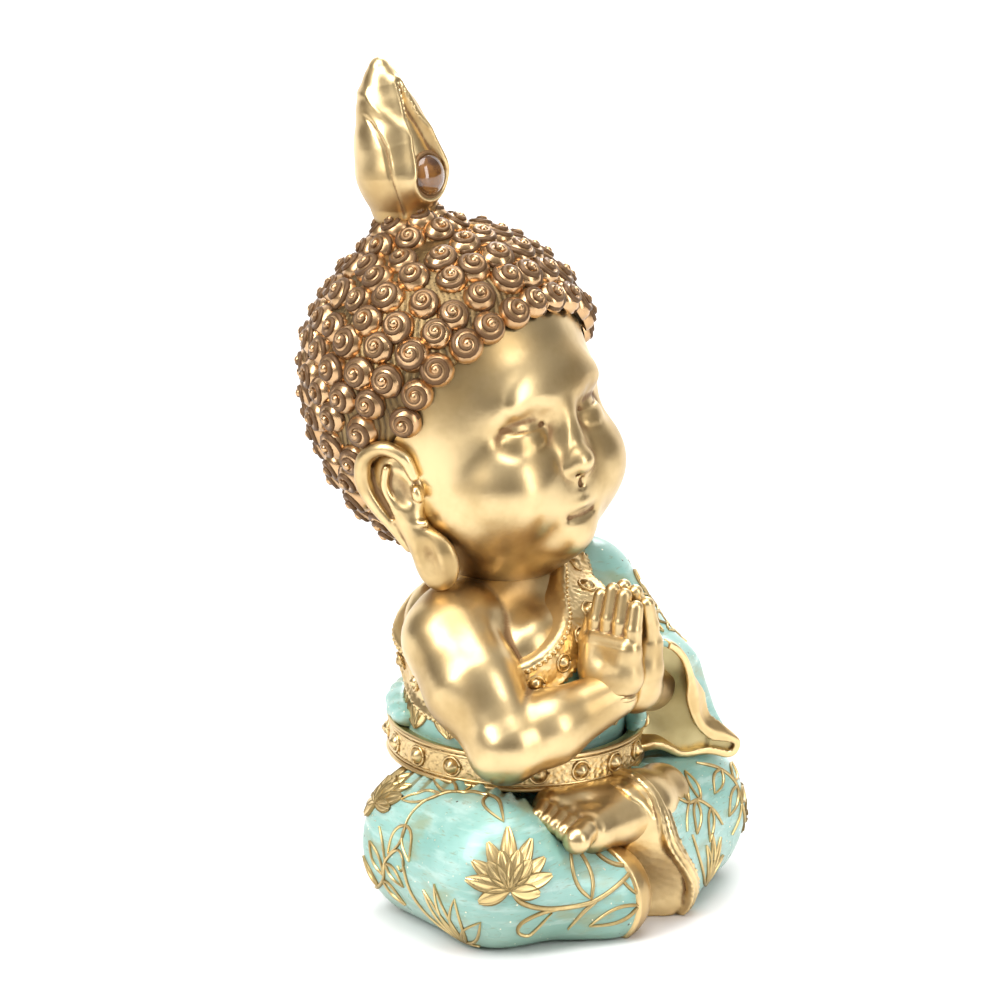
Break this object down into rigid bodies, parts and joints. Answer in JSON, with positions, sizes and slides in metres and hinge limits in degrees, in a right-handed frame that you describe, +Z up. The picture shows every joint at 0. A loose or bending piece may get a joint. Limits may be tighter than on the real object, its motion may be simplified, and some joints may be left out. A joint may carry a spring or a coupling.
{
  "type": "seated buddha figurine",
  "caption": "Seated child buddha figurine in gold with curled hair, praying hands and a mint robe with gold relief.",
  "frame": {"origin": "centre of the flat foot that the figure stands on", "axes": "+Z up, -Y the way the figure faces, -X its right hand"},
  "size_m": [0.096, 0.1045, 0.1962],
  "materials": {
    "gold_paint": "metallic gold paint over resin, satin, brown wash in the recesses",
    "bronze_paint": "metallic bronze paint over resin, satin",
    "jade_paint": "brushed mint paint, lightly glossy, with gold relief and glitter",
    "amber_stone": "polished amber stone",
    "dowel_steel": "plain drawn rod"
  },
  "bodies": {
    "root": {"lower_body": "jade_paint", "right_hem": "gold_paint", "cuff_lining": "gold_paint", "left_foot": "gold_paint", "robe_body": "jade_paint", "belt_band": "gold_paint", "belt_cords": "gold_paint", "belt_stones": "gold_paint", "waist_fold": "jade_paint", "torso": "gold_paint", "sash_band": "gold_paint", "sash_edging": "gold_paint", "sash_stones": "gold_paint", "left_sleeve": "jade_paint", "sleeve_lining": "gold_paint", "right_arm": "gold_paint", "right_hand": "gold_paint", "left_hand": "gold_paint", "head": "gold_paint", "right_ear": "gold_paint", "left_ear": "gold_paint", "hair_cap": "bronze_paint", "hair_bun": "bronze_paint", "hair_curls": "bronze_paint", "bun_curls": "bronze_paint", "finial": "gold_paint", "finial_stone": "amber_stone", "waist_dowel": "dowel_steel", "neck_dowel": "dowel_steel", "finial_pin": "dowel_steel"}
  },
  "joints": []
}
